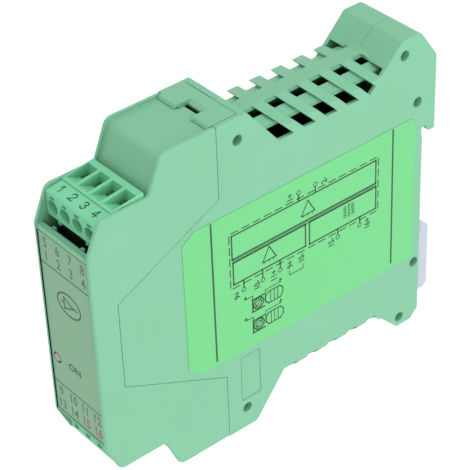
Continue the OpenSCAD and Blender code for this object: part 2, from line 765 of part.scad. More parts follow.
module bottom_header() color(black_plastic) mirror([0, 0, 1]) header_body();
module top_header_pins() color(steel) header_pin_row();
module bottom_header_pins() color(steel) mirror([0, 0, 1]) header_pin_row();

// Circuit board and what it carries
board_front = front_wall_y + front_wall_t + 3.2;
neck_h = 2 * header_low - 0.6;
neck_y = step_wall_y + panel_t + 3;
module circuit_board() color("#17191b")
    across(board_x, board_face) polygon([
        [board_front, -neck_h / 2], [board_front, neck_h / 2], [neck_y, neck_h / 2], [neck_y, board_h / 2],
        [-board_rear, board_h / 2], [-board_rear, -board_h / 2], [neck_y, -board_h / 2], [neck_y, -neck_h / 2]
    ]);

core_y = -54;
coil_lift = 3.6;
core_x = board_face + coil_lift;
core_t = 5;
core_leg = 2.5;
coil_gap = 0.1;
module transformer_core() color("#3a3b3f")
    difference() {
        block([core_x, core_y - core_l / 2, -core_h / 2], [core_x + core_t, core_y + core_l / 2, core_h / 2]);
        for (s = [-1, 1])
            translate([core_x - over, core_y + s * core_l / 4 - (core_l / 2 - 2 * core_leg) / 2, -core_h / 2 + core_leg])
                cube([core_t + 2 * over, core_l / 2 - 2 * core_leg, core_h - 2 * core_leg]);
    }
module transformer_coil() color("#d9b24a") {
    reach = core_l / 2 - core_leg - coil_gap;
    tall = core_h / 2 - core_leg - coil_gap;
    leg = core_leg + coil_gap;
    difference() {
        block([board_face, core_y - reach, -tall], [core_x + core_t + coil_lift, core_y + reach, tall]);
        block([core_x - coil_gap, core_y - leg, -core_h], [core_x + core_t + coil_gap, core_y + leg, core_h]);
    }
}

// A flat chip with leads along its two long sides
module chip(y, z, l, w, t, leads) {
    block([board_face + 0.15, y - l / 2, z - w / 2], [board_face + t, y + l / 2, z + w / 2]);
    for (k = [0:leads - 1], s = [-1, 1])
        translate([board_face, y + (k - (leads - 1) / 2) * 1.27 - 0.2, s > 0 ? z + w / 2 - 0.2 : z - w / 2 - 1.2])
            cube([t / 2, 0.4, 1.4]);
}
wide_chip = [10.3, 7.5, 2.4, 8];
small_chip = [4.9, 3.9, 1.6, 4];
chip_space = 6;
cap_space = 1.5;
wide_chip_y = core_y - core_l / 2 - wide_chip[0] - chip_space;
small_chip_y = core_y + core_l / 2 + small_chip[0] / 2 + chip_space;
module isolation_chip() color(black_plastic)
    chip(wide_chip_y, 0, wide_chip[0], wide_chip[1], wide_chip[2], wide_chip[3]);
module amplifier_chips() color(black_plastic)
    for (z = [-1, 1] * core_h) chip(small_chip_y, z, small_chip[0], small_chip[1], small_chip[2], small_chip[3]);
module filter_capacitors() color("#3b5a8c")
    for (k = [0, 1], y = -board_rear - cap_d - k * (cap_d + cap_space))
        rod_x(board_face, board_face + cap_l, y, 0, cap_d);

// Power light behind the front label
led_l = 4.6;
led_front = label_y - 0.1;
lead_t = 0.5;
module power_led() color("#c9a9a6") {
    rod_y(led_front + led_d / 4, led_front + led_l, led_x, led_z, led_d);
    translate([led_x, led_front + led_d / 4, led_z]) rotate([90, 0, 0])
        cylinder(h = led_d / 4, d1 = led_d, d2 = led_d * 0.7);
}
module led_leads() color(steel)
    for (s = [-1, 1]) {
        z = led_z + s * 0.9;
        block([led_x - lead_t / 2, led_front + led_l, z - lead_t / 2], [led_x + lead_t / 2, board_front + 2, z + lead_t / 2]);
        block([board_face, board_front + 2 - lead_t, z - lead_t / 2], [led_x, board_front + 2, z + lead_t / 2]);
    }

front_cover();
right_shell();
left_shell();
front_label();
side_label();
din_latch();
latch_spring();
circuit_board();
top_header();
bottom_header();
top_header_pins();
bottom_header_pins();
transformer_core();
transformer_coil();
isolation_chip();
amplifier_chips();
filter_capacitors();
power_led();
led_leads();
top_plug();
bottom_plug();
top_contacts();
bottom_contacts();
for (i = [0:poles - 1]) {
    terminal_screw(i, 1);
    terminal_screw(i, -1);
    clamp_cage(i, 1);
    clamp_cage(i, -1);
}
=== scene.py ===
# %% [markdown]
# # A signal isolator in a slim green housing
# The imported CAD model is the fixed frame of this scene. Every wall, louvre, plug, screw and label
# plate is already there in its real size. Blender adds what a drawing doesn't hold: soft edges,
# the grain of moulded plastic, ink on the labels, light and a camera.

# %% Load the frame
import json
import math

import bmesh
import bpy
from mathutils import Matrix, Vector
from mathutils.bvhtree import BVHTree


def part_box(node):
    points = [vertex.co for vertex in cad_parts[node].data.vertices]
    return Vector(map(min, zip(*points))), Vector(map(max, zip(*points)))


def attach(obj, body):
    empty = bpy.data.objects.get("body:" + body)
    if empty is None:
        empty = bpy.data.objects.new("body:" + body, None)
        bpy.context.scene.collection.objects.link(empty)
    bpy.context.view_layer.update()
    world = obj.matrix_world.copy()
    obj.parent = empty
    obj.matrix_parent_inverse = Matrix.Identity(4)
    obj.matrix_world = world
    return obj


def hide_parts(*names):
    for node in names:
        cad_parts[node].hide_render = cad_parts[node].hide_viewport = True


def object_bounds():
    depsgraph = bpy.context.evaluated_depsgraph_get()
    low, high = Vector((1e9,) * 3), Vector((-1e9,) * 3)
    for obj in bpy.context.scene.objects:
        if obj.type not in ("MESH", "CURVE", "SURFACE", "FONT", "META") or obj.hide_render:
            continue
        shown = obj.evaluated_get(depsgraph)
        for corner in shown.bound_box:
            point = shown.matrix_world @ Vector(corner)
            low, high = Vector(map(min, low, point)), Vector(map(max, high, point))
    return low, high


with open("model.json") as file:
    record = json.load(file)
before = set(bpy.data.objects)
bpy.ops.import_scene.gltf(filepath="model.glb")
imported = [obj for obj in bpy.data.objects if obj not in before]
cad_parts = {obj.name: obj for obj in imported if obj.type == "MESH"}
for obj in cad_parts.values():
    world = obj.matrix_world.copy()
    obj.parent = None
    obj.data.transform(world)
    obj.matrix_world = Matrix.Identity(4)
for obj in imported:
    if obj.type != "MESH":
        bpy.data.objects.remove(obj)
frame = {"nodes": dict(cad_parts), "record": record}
nodes = frame["nodes"]
cad_low, cad_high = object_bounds()
scene = bpy.context.scene
MM = 0.001
print("CAD nodes:", len(nodes), "box in mm:", [round(v / MM, 1) for v in cad_high - cad_low])

# %% [markdown]
# ## Camera
# The photograph was taken from high on the front right with a long lens. A camera is a place, a
# direction and a lens. Its own axes are right, up and backwards, so those three vectors are the
# columns of its turn. They came from matching known corners of the housing with the picture.

# %% Place the camera
LENS_PX, FRAME_PX, SENSOR_MM = 1907.4, 470, 36
CAMERA_MM = Vector((312.2, -306.1, 302.1))
SIGHT = Vector((-0.62710, 0.50067, -0.59672)).normalized()
HEAD_UP = Vector((-0.44030, 0.40410, 0.80177))
right = SIGHT.cross(HEAD_UP).normalized()
upward = right.cross(SIGHT)
camera_data = bpy.data.cameras.new("camera")
camera_data.sensor_width = SENSOR_MM
camera_data.lens = SENSOR_MM * LENS_PX / FRAME_PX
camera_data.clip_start, camera_data.clip_end = 0.01, 10
camera = bpy.data.objects.new("camera", camera_data)
turn = Matrix((right, upward, -SIGHT)).transposed().to_4x4()
camera.matrix_world = Matrix.Translation(CAMERA_MM * MM) @ turn
scene.collection.objects.link(camera)
scene.camera = camera
print("lens in mm:", round(camera_data.lens, 1))

# %% [markdown]
# ## Floor and studio light
# The module hangs from its rail, so the floor lies some way below it and takes only a faint shadow.
# A bright even sky gives the soft light of a photo tent. A large lamp on the right makes the
# labelled side the lightest face, and one overhead lifts the faces that look up. The slopes that
# face forwards stay the darkest, as in the photograph, and so do the holes in the side.

# %% Build the studio
FLOOR_HALF, FLOOR_DROP = 4, 0.09
SKY_STRENGTH, LAMP_AWAY = 0.92, 1.25
scene.view_settings.view_transform = "Standard"
floor_bm = bmesh.new()
bmesh.ops.create_grid(floor_bm, x_segments=1, y_segments=1, size=FLOOR_HALF)
bmesh.ops.translate(floor_bm, verts=floor_bm.verts, vec=(0, 0, cad_low.z - FLOOR_DROP))
floor_mesh = bpy.data.meshes.new("floor")
floor_bm.to_mesh(floor_mesh)
floor_bm.free()
floor = bpy.data.objects.new("floor", floor_mesh)
scene.collection.objects.link(floor)

sky = bpy.data.worlds.new("studio_sky")
sky.use_nodes = True
sky_inputs = sky.node_tree.nodes["Background"].inputs
sky_inputs["Color"].default_value = (1, 1, 1, 1)
sky_inputs["Strength"].default_value = SKY_STRENGTH
scene.world = sky
middle = (cad_low + cad_high) / 2


def softbox(name, way, size, power):
    """A square area lamp that faces the module from the given way."""
    lamp = bpy.data.lights.new(name, "AREA")
    lamp.size, lamp.energy = size, power
    place = middle + Vector(way) * LAMP_AWAY
    thing = bpy.data.objects.new(name, lamp)
    thing.location = place
    thing.rotation_mode = "QUATERNION"
    thing.rotation_quaternion = (middle - place).to_track_quat("-Z", "Y")
    scene.collection.objects.link(thing)


softbox("side_lamp", (0.98, 0.12, 0.12), 0.8, 7.6)
softbox("top_lamp", (0.1, -0.1, 0.99), 0.6, 4.2)

# %% [markdown]
# ## Shader maths
# A material is a small graph of nodes. Writing the graph by hand is long, so one class wraps a
# socket and lets Python's own operators add the Math nodes. Every other kind of node comes from one
# method that takes its type, its settings and what goes into its sockets.


# %% One class for sockets
class Wire:
    """A socket in a material's node tree that can be used in sums."""

    def __init__(self, tree, socket):
        self.tree, self.socket = tree, socket

    def plug(self, target, value):
        """Links a wire to a socket, or sets the socket to a plain value."""
        if isinstance(value, Wire):
            self.tree.links.new(value.socket, target)
        else:
            target.default_value = value

    def node(self, kind, output=0, settings=None, **sockets):
        """Adds a node; a socket is given by its name, or by _ and its number."""
        made = self.tree.nodes.new(kind)
        for key, value in (settings or {}).items():
            setattr(made, key, value)
        for key, value in sockets.items():
            name = int(key[1:]) if key[0] == "_" else key.replace("_", " ")
            self.plug(made.inputs[name], value)
        return Wire(self.tree, made.outputs[output])

    def sum(self, operation, other):
        """Adds a Math node."""
        return self.node("ShaderNodeMath", settings={"operation": operation}, _0=self, _1=other)

    def __add__(self, other):
        return self.sum("ADD", other)

    def __mul__(self, other):
        return self.sum("MULTIPLY", other)


print("socket class ready")


# %% Start a material
def start_material(name):
    """A new material, its shader, and a wire that carries Object coordinates."""
    material = bpy.data.materials.new(name)
    material.use_nodes = True
    tree = material.node_tree
    shader = tree.nodes["Principled BSDF"]
    place = tree.nodes.new("ShaderNodeTexCoord")
    return material, shader, Wire(tree, place.outputs["Object"])


def noise(at, scale, detail=2.0, **more):
    """A noise over the coordinates that the wire carries."""
    return at.node("ShaderNodeTexNoise", Vector=at, Scale=scale, Detail=detail, **more)


def rgba(colour, gain):
    """A colour made lighter or darker, with full cover."""
    return tuple(min(1.0, c * gain) for c in colour) + (1.0,)


def clouded(at, shader, factor, colour, low, high):
    """Lets a noise move the base colour between a darker and a lighter tone."""
    tones = {"_0": factor, "_6": rgba(colour, low), "_7": rgba(colour, high)}
    mixed = at.node("ShaderNodeMix", output=2, settings={"data_type": "RGBA"}, **tones)
    at.plug(shader.inputs["Base Color"], mixed)


print("material helpers ready")

# %% [markdown]
# ## Moulded plastic
# The housing is injection-moulded polyamide: satin, with a very fine spark-eroded grain, slight
# clouding where the melt flowed, and edges that the mould leaves a little round. Two noises do
# this. The coarse one clouds the colour and the gloss, the fine one is a bump of a few microns. A
# Bevel node bends the normals at every edge, which catches the light as a real radius does.

# %% Plastic finishes
FLOW_SCALE, FLOW_GLOSS = 55.0, 0.12
GRAIN_SCALE, GRAIN_GLOSS, GRAIN_DEPTH = 2600.0, 0.06, 0.02
EDGE_RADIUS, PLASTIC_IOR = 0.18, 1.5
HOUSING_GREEN = (0.170, 0.428, 0.268)
PLUG_GREEN = (0.163, 0.528, 0.303)
LATCH_WHITE = (0.43, 0.465, 0.54)
PART_BLACK = (0.016, 0.017, 0.018)


def moulded_plastic(name, colour, rough=0.46, cloud=0.05, grain=0.25, coat=0.0, shine=0.3):
    """Satin plastic with flow clouds, a fine grain and soft edges."""
    material, shader, at = start_material(name)
    flow = noise(at, FLOW_SCALE, 3.0, Roughness=0.5)
    fine = noise(at, GRAIN_SCALE, Roughness=0.6)
    clouded(at, shader, flow, colour, 1 - cloud, 1 + cloud)
    least = rough - (FLOW_GLOSS + GRAIN_GLOSS) / 2
    at.plug(shader.inputs["Roughness"], flow * FLOW_GLOSS + fine * GRAIN_GLOSS + least)
    soft = at.node("ShaderNodeBevel", settings={"samples": 6}, Radius=EDGE_RADIUS * MM)
    relief = {"Strength": grain, "Distance": GRAIN_DEPTH * MM, "Height": fine, "Normal": soft}
    at.plug(shader.inputs["Normal"], at.node("ShaderNodeBump", **relief))
    shader.inputs["IOR"].default_value = PLASTIC_IOR
    shader.inputs["Specular IOR Level"].default_value = shine
    shader.inputs["Coat Weight"].default_value = coat
    return material


finish = {
    "housing": moulded_plastic("housing_plastic", HOUSING_GREEN),
    "plug": moulded_plastic("plug_plastic", PLUG_GREEN, rough=0.42, shine=0.12),
    "latch": moulded_plastic("latch_plastic", LATCH_WHITE, rough=0.4, cloud=0.03),
    "black_plastic": moulded_plastic("black_plastic", PART_BLACK, rough=0.5, cloud=0.15),
}
print("plastics:", sorted(finish))

# %% [markdown]
# ## Label film, metal and the parts inside
# The labels are printed films: flat, faintly glossy and a little uneven in tone. Metal parts are
# brushed or plated, so their gloss runs in streaks along the way they were drawn. The parts inside
# are seen only through the vents and funnels, and each gets the finish of its kind, except the
# board: it is made almost black as painted shade for the dark inside of the housing.

# %% Film and metal finishes
TONE_SCALE, FIBRE_SCALE, FIBRE_GLOSS = 30.0, 1500.0, 0.1
STREAKS, STREAK_GLOSS, STREAK_DROP = (900, 60, 900), 0.25, 0.1
RELIEF_DEPTH, FILM_SHINE = 0.01, 0.35


def relief_of(at, shader, height, strength):
    """A shallow bump in the normal."""
    relief = {"Strength": strength, "Distance": RELIEF_DEPTH * MM, "Height": height}
    at.plug(shader.inputs["Normal"], at.node("ShaderNodeBump", **relief))


def printed_film(name, colour, rough=0.38, cloud=0.02):
    """A flat coloured film with a faint tooth."""
    material, shader, at = start_material(name)
    fibre = noise(at, FIBRE_SCALE)
    clouded(at, shader, noise(at, TONE_SCALE), colour, 1 - cloud, 1 + cloud)
    at.plug(shader.inputs["Roughness"], fibre * FIBRE_GLOSS + (rough - FIBRE_GLOSS / 2))
    relief_of(at, shader, fibre, 0.12)
    shader.inputs["Specular IOR Level"].default_value = FILM_SHINE
    return material


def plated_metal(name, colour, rough=0.3):
    """Metal whose tone and gloss run in streaks along its length."""
    material, shader, at = start_material(name)
    run = at.node("ShaderNodeMapping", Vector=at, Scale=STREAKS)
    lines = noise(run, 1.0, 3.0)
    clouded(at, shader, lines, colour, 0.85, 1.1)
    at.plug(shader.inputs["Roughness"], lines * STREAK_GLOSS + (rough - STREAK_DROP))
    relief_of(at, shader, lines, 0.2)
    shader.inputs["Metallic"].default_value = 1.0
    return material


finish.update({
    "front_print": printed_film("front_film", (0.170, 0.356, 0.212)),
    "side_print": printed_film("side_film", (0.126, 0.507, 0.184), rough=0.34),
    # The board is almost black: painted shade for the dark inside of the housing seen through the
    # vents.
    "board": printed_film("board_painted_shade", (0.006, 0.007, 0.008), rough=0.4, cloud=0.2),
    "winding": printed_film("winding_tape", (0.55, 0.36, 0.06), rough=0.3, cloud=0.1),
    "capacitor_sleeve": printed_film("capacitor_sleeve", (0.03, 0.07, 0.20), rough=0.28, cloud=0.1),
    "ferrite": moulded_plastic("ferrite", (0.03, 0.03, 0.033), rough=0.6, cloud=0.25, grain=0.6),
    "led_plastic": moulded_plastic("led_plastic", (0.30, 0.29, 0.25), rough=0.35, coat=0.2),
    "spring_steel": plated_metal("spring_steel", (0.45, 0.46, 0.48)),
    "tinned_metal": plated_metal("tinned_metal", (0.62, 0.62, 0.62), rough=0.35),
    "contact_brass": plated_metal("contact_brass", (0.22, 0.155, 0.075), rough=0.4),
    "screw_steel": plated_metal("screw_steel", (0.42, 0.43, 0.44), rough=0.35),
})
for entry in frame["record"]["subparts"]:
    slots = nodes[entry["node"]].data.materials
    slots.clear()
    slots.append(finish[entry["material_slot"]])
print("finishes:", len(finish))

# %% [markdown]
# ## Rims and seams
# A CAD solid has knife edges, and a moulded part never does. The outer rims, where a side wall
# ends, are the roundest, so each edge gets a weight. A long loop on a side is a rim, but where it
# runs along a seam with a neighbour it stays crisp, and so do the edges where the two halves meet
# along the spine of the vents.

# %% Find the rims
SHARP_TURN = math.radians(35)
ON_SIDE, ON_SPINE, SPINE_END = 0.01 * MM, 0.1 * MM, -12 * MM
RIM_SPAN, SEAM_REACH, SEAM_SHARE = 13 * MM, 0.3 * MM, 0.15


def loops(edges):
    """Parts a set of edges into groups that hang together."""
    left = set(edges)
    while left:
        stack, group = [left.pop()], []
        while stack:
            edge = stack.pop()
            group.append(edge)
            near = [e for v in edge.verts for e in v.link_edges if e in left]
            left.difference_update(near)
            stack.extend(near)
        yield group


def search_tree(node):
    """Finds the nearest point on a CAD node."""
    skin = nodes[node].data
    corners = [p.vertices for p in skin.polygons]
    return BVHTree.FromPolygons([v.co for v in skin.vertices], corners)


def weigh_edges(bm, side_x, plain, neighbours):
    """Weight 1 on the outer rims at the sides, plain on other sharp edges, and less on seams."""
    weight = bm.edges.layers.float.new("bevel_weight_edge")
    folds = [e for e in bm.edges if len(e.link_faces) == 2]
    sharp = [e for e in folds if e.calc_face_angle() > SHARP_TURN]
    for edge in sharp:
        spine = all(abs(v.co.x) < ON_SPINE and v.co.y < SPINE_END for v in edge.verts)
        edge[weight] = plain * SEAM_SHARE if spine else plain
    trees = [search_tree(n) for n in neighbours]
    side = side_x * MM
    outer = [e for e in sharp if all(abs(abs(v.co.x) - side) < ON_SIDE for v in e.verts)]
    rims = 0
    for group in loops(outer):
        depths = [v.co.y for e in group for v in e.verts]
        if max(depths) - min(depths) < RIM_SPAN:
            continue
        for edge in group:
            spot = (edge.verts[0].co + edge.verts[1].co) / 2
            seam = any(tree.find_nearest(spot, SEAM_REACH)[0] for tree in trees)
            edge[weight] = plain * SEAM_SHARE if seam else 1.0
            rims += not seam
    return rims


print("rim finder ready")

# %% [markdown]
# ## Lower louvres
# The underside of the housing is seen only along its lower right edge. There the photograph shows
# the outer ends of the louvres almost flush with the wall, while those on top stand up as teeth. A
# wedge is cut out of the copies of both shells: it takes the ends away and leaves the middle of the
# vent.

# %% Cut the ends of the lower louvres
WALL_Z, MIDDLE_X, MIDDLE_Z, END_X, END_Z = 37.4, 2.35, 43.9, 11.25, 37.9
FRONT_Y, FRONT_SLOPE, REAR_Y, REAR_SLOPE = -49.9, -0.8, -17.2, 1.0
WEDGE_IN, WEDGE_OUT, WEDGE_DOWN = 1, 0.5, 3
VENT_REACH, BELOW_WALL, FROM_END = 8, 0.2, 0.05


def louvre_wedge(side):
    """The space below a line from the middle of the lower vent to just under the wall."""
    bm = bmesh.new()
    fall = (MIDDLE_Z - END_Z) / (END_X - MIDDLE_X)
    for x in (MIDDLE_X - WEDGE_IN, END_X + WEDGE_OUT):
        for z in (MIDDLE_Z - (x - MIDDLE_X) * fall, MIDDLE_Z + WEDGE_DOWN):
            for y, slope in ((FRONT_Y, FRONT_SLOPE), (REAR_Y, REAR_SLOPE)):
                bm.verts.new(Vector((x * side, y + slope * (z - WALL_Z), -z)) * MM)
    bmesh.ops.convex_hull(bm, input=bm.verts)
    bmesh.ops.recalc_face_normals(bm, faces=bm.faces)
    mesh = bpy.data.meshes.new("wedge")
    bm.to_mesh(mesh)
    bm.free()
    return mesh


def in_lower_vent(spot):
    """True for a point among the lower louvres, behind the outer face of the wall."""
    x, y, z = spot / MM
    among = FRONT_Y - VENT_REACH < y < REAR_Y + VENT_REACH
    return among and z < -WALL_Z - BELOW_WALL and abs(x) < END_X - FROM_END


def cut_out(mesh, block):
    """The mesh without the space of the block."""
    things = [bpy.data.objects.new(m.name, m) for m in (mesh, block)]
    for thing in things:
        scene.collection.objects.link(thing)
    cut = things[0].modifiers.new("cut", "BOOLEAN")
    cut.solver, cut.object = "EXACT", things[1]
    bpy.context.view_layer.update()
    shown = things[0].evaluated_get(bpy.context.evaluated_depsgraph_get())
    rest = bpy.data.meshes.new_from_object(shown)
    for thing in things:
        bpy.data.objects.remove(thing)
    return rest


wedges = {"right_shell": louvre_wedge(1), "left_shell": louvre_wedge(-1)}
print("wedges:", sorted(wedges))

# %% [markdown]
# ## Rounded mouldings
# A copy of each moulding is merged into one skin, its flat triangles are dissolved into whole
# faces, and a Bevel modifier rounds every edge by its weight. The louvres that were cut stay
# without it, because their slivers are too thin to round. The copy then stands for the node, which
# stays in the frame for collision, hidden.

# %% Round the edges of the mouldings
MERGE, FLAT_TURN, BEVEL_STEPS = 0.002 * MM, math.radians(0.5), 3
SIDE_X, PLUG_SIDE_X = 11.25, 10
SHELLS = ("right_shell", "left_shell")


def whole_skin(node, split):
    """One skin of a CAD node with whole flat faces, cut where the node has a wedge."""
    bm = bmesh.new()
    bm.from_mesh(nodes[node].data)
    bmesh.ops.remove_doubles(bm, verts=bm.verts, dist=MERGE)
    bmesh.ops.dissolve_limit(bm, angle_limit=FLAT_TURN, verts=bm.verts, edges=bm.edges)
    if split:
        bmesh.ops.connect_verts_concave(bm, faces=bm.faces)
    if node in wedges:
        whole = bpy.data.meshes.new(node)
        bm.to_mesh(whole)
        bm.clear()
        bm.from_mesh(cut_out(whole, wedges[node]))
    return bm


def rounded_moulding(node, body, slot, width, rim=None, side_x=0, split=False, neighbours=()):
    """A rounded copy of a CAD node that stands for it, widths in mm."""
    bm = whole_skin(node, split)
    rim = rim or width
    rims = weigh_edges(bm, side_x, width / rim, neighbours)
    if node in wedges:
        weight = bm.edges.layers.float["bevel_weight_edge"]
        for edge in bm.edges:
            if any(in_lower_vent(v.co) for v in edge.verts):
                edge[weight] = 0
    mesh = bpy.data.meshes.new(node + "_rounded")
    bm.to_mesh(mesh)
    bm.free()
    piece = bpy.data.objects.new(node + "_rounded", mesh)
    scene.collection.objects.link(piece)
    mesh.materials.clear()
    mesh.materials.append(finish[slot])
    edge = piece.modifiers.new("edge", "BEVEL")
    edge.width, edge.segments, edge.profile = rim * MM, BEVEL_STEPS, 0.5
    edge.limit_method = "WEIGHT"
    edge.use_clamp_overlap = False
    edge.harden_normals = True
    edge.miter_outer = "MITER_ARC"
    edge.loop_slide = False
    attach(piece, body)
    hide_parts(node)
    print(piece.name, len(mesh.polygons), "faces,", rims, "rim edges")


rounded_moulding("front_cover", "housing", "housing", 0.2, 0.7, SIDE_X, neighbours=SHELLS)
for node in SHELLS:
    rounded_moulding(node, "housing", "housing", 0.2, 0.2, SIDE_X, neighbours=("front_cover",))
for node in ("top_plug", "bottom_plug"):
    rounded_moulding(node, "housing", "plug", 0.12, 0.3, PLUG_SIDE_X, split=True)
rounded_moulding("din_latch", "latch", "latch", 0.25)

# %% [markdown]
# ## Ink
# The print on the labels is line work and plain numbers. Each stroke is a thin quad that lies a
# hair above its label, and numbers are text turned into a mesh. A sheet is a small drawing board:
# it knows where its origin is, which way is across and which way is up, and it collects strokes.

# %% A drawing board for printed marks
INK_GAP, INK_THICK, CAPITAL_SHARE = 0.01, 0.02, 0.7


class Sheet:
    """Collects flat marks, in mm, on a plane through origin with the given axes."""

    def __init__(self, origin, across, up):
        a, u = Vector(across), Vector(up)
        axes = Matrix((a, u, a.cross(u))).transposed().to_4x4()
        self.base = Matrix.Translation(Vector(origin) * MM) @ axes
        self.bm = bmesh.new()

    def at(self, x, y):
        """The place of a mark on the board."""
        return self.base @ Matrix.Translation((x * MM, y * MM, 0))

    def line(self, start, end, width):
        """One straight stroke."""
        s, e = Vector(start), Vector(end)
        run = e - s
        turned = self.at(*((s + e) / 2)) @ Matrix.Rotation(math.atan2(run.y, run.x), 4, "Z")
        place = turned @ Matrix.Diagonal((run.length * MM, width * MM, 1, 1))
        bmesh.ops.create_grid(self.bm, x_segments=1, y_segments=1, size=0.5, matrix=place)

    def path(self, points, width, closed=False):
        """Lines from point to point that overlap at the corners."""
        ends = points[1:] + points[:1] if closed else points[1:]
        for a, b in zip(points, ends):
            grow = (Vector(b) - Vector(a)).normalized() * width / 2
            self.line(Vector(a) - grow, Vector(b) + grow, width)

    def block(self, left, top, right, bottom, width):
        """The outline of an upright rectangle."""
        corners = [(left, top), (right, top), (right, bottom), (left, bottom)]
        self.path(corners, width, closed=True)

    def dashes(self, start, end, width, dash, gap):
        """A whole number of dashes, as near to the wanted length as will fit."""
        s, e = Vector(start), Vector(end)
        run = (e - s).normalized()
        count = max(1, round((e - s).length / (dash + gap)))
        step = (e - s).length / count
        for k in range(count):
            a = s + run * (k * step + gap / 2)
            self.line(a, a + run * (step - gap), width)

    def ring(self, centre, wide, high, width, segments=32):
        """A closed oval line: a disc is inset, and its middle is taken out."""
        place = self.at(*centre) @ Matrix.Diagonal((wide / 2 * MM, high / 2 * MM, 1, 1))
        shape = {"cap_ends": True, "radius": 1, "segments": segments, "matrix": place}
        made = bmesh.ops.create_circle(self.bm, **shape)
        face = made["verts"][0].link_faces[0]
        bmesh.ops.inset_individual(self.bm, faces=[face], thickness=width * MM)
        bmesh.ops.delete(self.bm, geom=[face], context="FACES")

    def words(self, text, centre, height, stretch=1.0, bold=0.0, turn=0):
        """Text in Blender's own font, as flat faces."""
        curve = bpy.data.curves.new("letters", "FONT")
        curve.body, curve.size, curve.offset = text, 1.0, bold
        curve.align_x, curve.align_y = "CENTER", "CENTER"
        thing = bpy.data.objects.new("letters", curve)
        mesh = bpy.data.meshes.new_from_object(thing)
        size = height * MM / CAPITAL_SHARE
        place = self.at(*centre) @ Matrix.Rotation(math.radians(turn), 4, "Z")
        mesh.transform(place @ Matrix.Diagonal((size * stretch, size, 1, 1)))
        self.bm.from_mesh(mesh)
        bpy.data.objects.remove(thing)
        bpy.data.meshes.remove(mesh)
        bpy.data.curves.remove(curve)

    def finished(self, name, slot, material):
        """Makes one piece of all marks, which rides on the housing."""
        bmesh.ops.recalc_face_normals(self.bm, faces=self.bm.faces)
        want = self.base.to_3x3() @ Vector((0, 0, 1))
        turned = [f for f in self.bm.faces if f.normal.dot(want) < 0]
        bmesh.ops.reverse_faces(self.bm, faces=turned)
        mesh = bpy.data.meshes.new(name)
        self.bm.to_mesh(mesh)
        self.bm.free()
        mesh.materials.append(material)
        piece = bpy.data.objects.new(name, mesh)
        scene.collection.objects.link(piece)
        body = piece.modifiers.new("ink", "SOLIDIFY")
        body.thickness, body.offset = INK_THICK * MM, 1
        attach(piece, "housing")
        print(name, len(mesh.polygons), "marks")


print("drawing board ready")

# %% Mix the inks
PATCH_SCALE, PATCH_GLOSS, INK_LEAST = 700.0, 0.15, 0.43


def ink(name, colour):
    """Printing ink, a little patchy in tone and gloss."""
    material, shader, at = start_material(name)
    patch = noise(at, PATCH_SCALE)
    clouded(at, shader, patch, colour, 0.8, 1.25)
    at.plug(shader.inputs["Roughness"], patch * PATCH_GLOSS + INK_LEAST)
    return material


INK_GREY = ink("label_ink", (0.085, 0.150, 0.100))
# This ink draws the printed rules and also a painted shade line under the front label.
INK_LINE_AND_SHADE = ink("line_and_shade_ink", (0.030, 0.072, 0.045))
INK_DARK = ink("wiring_ink", (0.012, 0.060, 0.022))
INK_RED = ink("red_ink", (0.30, 0.075, 0.075))
print("inks ready")

# %% [markdown]
# ## Front label
# Two lines part the terminal numbers from the middle of the label, where a ring and a small power
# light sit. The numbers run 1 to 8 above and 9 to 16 below, one column to a pole. A third dark
# line along the lower edge is painted shade, for the shadow in the gap under the label. The last
# two numbers are the supply and printed in red.

# %% Print the front label
COLUMNS = (-7.4, -2.3, 2.8, 7.9)
ROWS = ((25.5, 5), (21.4, 1), (-22.3, 9), (-26.6, 13))
SUPPLY = (15, 16)
NUMBER = {"height": 2.9, "stretch": 0.85, "bold": 0.012}
# The third line height, at the lower edge of the label, is painted shade for the gap below it.
RULES_AND_SHADE_Z, RULE_W, RING_W, SIGN_W = (18.9, -19.5, -29.1), 0.34, 0.5, 0.4
SIGN_Z, SIGN_BACK, SIGN_TIP = 10.4, -1.5, 2.4
front_low, front_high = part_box("front_label")
edge_x = front_high.x / MM - 0.1


def front_sheet():
    """A drawing board just in front of the label, seen from the front."""
    return Sheet((0, front_low.y / MM - INK_GAP, 0), (1, 0, 0), (0, 0, 1))


front, rules_and_shade, live = front_sheet(), front_sheet(), front_sheet()
for z, first in ROWS:
    for k, x in enumerate(COLUMNS):
        sheet = live if first + k in SUPPLY else front
        sheet.words(str(first + k), (x, z), **NUMBER)
# The third of these lines is painted shade: a dark line for the shadow in the gap under the label.
for z in RULES_AND_SHADE_Z:
    rules_and_shade.line((-edge_x, z), (edge_x, z), RULE_W)
rules_and_shade.ring((0.5, SIGN_Z), 10.1, 7.2, RING_W)
sign = [(SIGN_BACK, SIGN_Z - 1.7), (SIGN_BACK, SIGN_Z + 1.7), (SIGN_TIP, SIGN_Z)]
rules_and_shade.path(sign, SIGN_W, closed=True)
for start, end in ((-3.0, SIGN_BACK), (SIGN_TIP, 4.0)):
    rules_and_shade.line((start, SIGN_Z), (end, SIGN_Z), SIGN_W)
rules_and_shade.words("ON", (0.0, -10.8), 2.1, 1.1, 0.02)
front.finished("front_print", "front_print", INK_GREY)
rules_and_shade.finished("front_rules_and_shade", "front_print", INK_LINE_AND_SHADE)
live.finished("front_print_red", "front_print", INK_RED)

# %% [markdown]
# ## Side label
# The wiring figure is drawn from standard signs: a dashed outline for the module, blocks for its
# two sides with an isolation bar between them, triangles for amplifiers, coupled coils for the
# supply, and open circles for terminals with plain numbers. Under it two clamps show a screw, a
# wire and arrows. All places are in millimetres from the rail seat, the origin of the frame.

